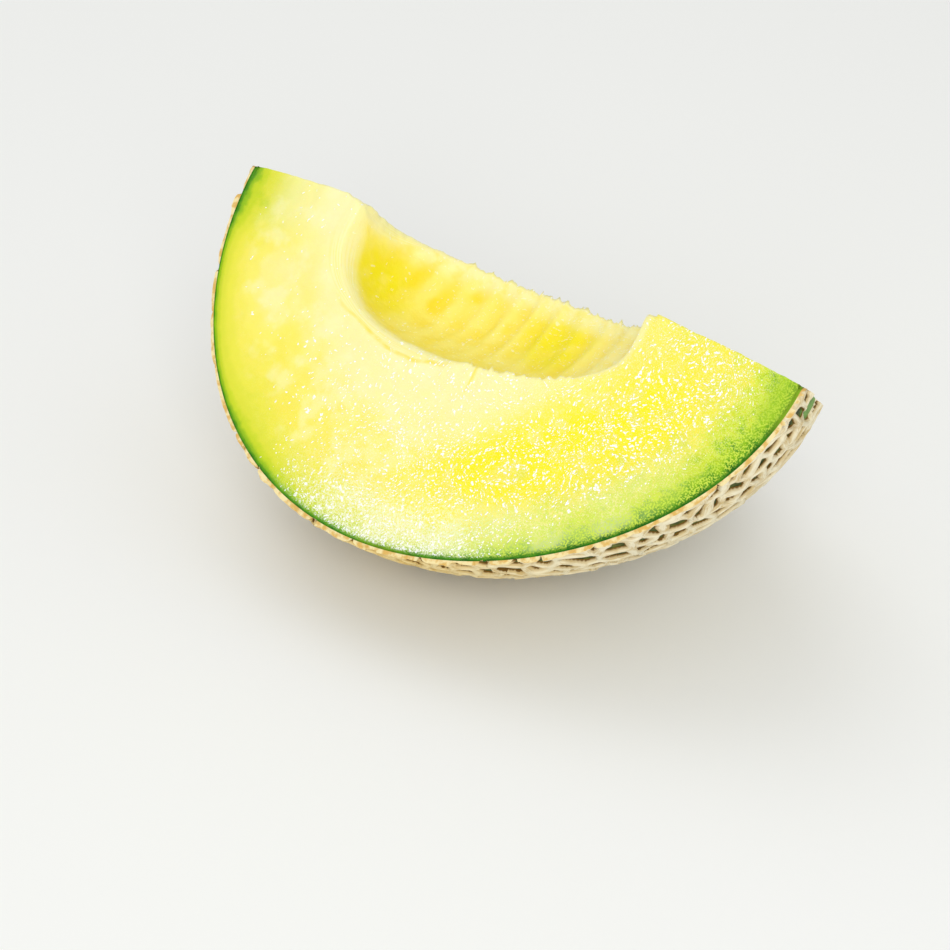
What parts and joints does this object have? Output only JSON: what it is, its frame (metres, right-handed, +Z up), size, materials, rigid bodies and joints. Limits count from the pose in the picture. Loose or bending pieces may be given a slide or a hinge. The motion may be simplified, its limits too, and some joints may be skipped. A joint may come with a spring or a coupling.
{
  "type": "japanese muskmelon wedge",
  "caption": "Wedge of netted muskmelon, cut pole to pole with the seeds scooped out, resting rind down with its flesh turned up.",
  "frame": {"origin": "middle of the small flat spot on the rind that the wedge rests on", "axes": "+X along the fruit's polar axis towards its narrower end, +Z up, one cut face to -Y and up"},
  "size_m": [0.153, 0.1024, 0.0724],
  "materials": {
    "flesh": "wet yellow-green melon flesh",
    "rind": "tan cork net over dark green skin"
  },
  "bodies": {
    "root": {"melon_wedge": "flesh"}
  },
  "joints": []
}
